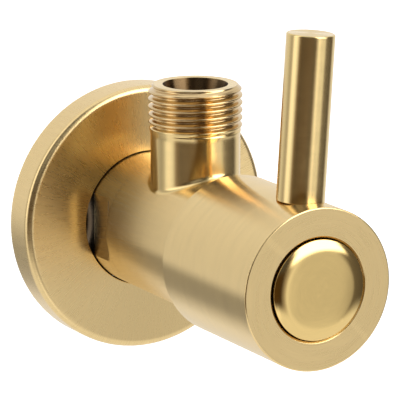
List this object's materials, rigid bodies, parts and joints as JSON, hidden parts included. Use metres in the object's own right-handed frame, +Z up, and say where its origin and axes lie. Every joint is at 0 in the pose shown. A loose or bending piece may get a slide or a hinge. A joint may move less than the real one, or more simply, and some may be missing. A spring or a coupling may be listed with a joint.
{
  "type": "angle stop valve",
  "caption": "Quarter-turn angle stop valve: wall flange, upward threaded outlet and a rotating sleeve handle with a straight lever rod and a domed cap.",
  "frame": {"origin": "the point where the inlet axis meets the wall plane, which is the open rim of the flange", "axes": "+X right as seen from the front, +Y along the inlet into the wall, +Z up along the outlet"},
  "size_m": [0.0486, 0.0803, 0.0668],
  "materials": {
    "satin_gold": "brushed gold coating on brass",
    "polished_gold": "polished gold coating on brass",
    "raw_brass": "machined brass",
    "ceramic": "lapped alumina ceramic",
    "rubber": "moulded rubber",
    "slide_plastic": "moulded acetal",
    "steel": "plain stainless steel"
  },
  "bodies": {
    "valve": {"valve_body": "satin_gold", "inlet_seal_washer": "rubber", "sleeve_glide_ring": "slide_plastic", "disc_seal_ring": "rubber", "bonnet_o_ring": "rubber", "cartridge_housing": "raw_brass", "fixed_disc": "ceramic"},
    "grip_ring": {"flange_grip_ring": "rubber"},
    "flange": {"wall_flange": "satin_gold"},
    "handle": {"moving_disc": "ceramic", "disc_carrier": "raw_brass", "spindle": "raw_brass", "spindle_o_ring_inner": "rubber", "spindle_o_ring_outer": "rubber", "thrust_washer": "slide_plastic", "spindle_clip": "steel", "handle_sleeve": "satin_gold", "handle_adapter": "slide_plastic", "handle_screw": "steel", "front_cap": "polished_gold", "cap_o_ring": "rubber", "lever_rod": "polished_gold", "lever_stud": "steel"}
  },
  "joints": [
    {"name": "handle_turn", "type": "hinge", "parent": "valve", "child": "handle", "pos_m": [0, -0.0595, 0], "axis": [0, 1, 0], "range_deg": [-3.7, 86.3]},
    {"name": "flange_slide", "type": "slide", "parent": "valve", "child": "grip_ring", "axis": [0, -1, 0], "range_m": [0, 0.0085]},
    {"name": "flange_spin", "type": "hinge", "parent": "grip_ring", "child": "flange", "pos_m": [0, 0, 0], "axis": [0, 1, 0], "continuous": true}
  ]
}
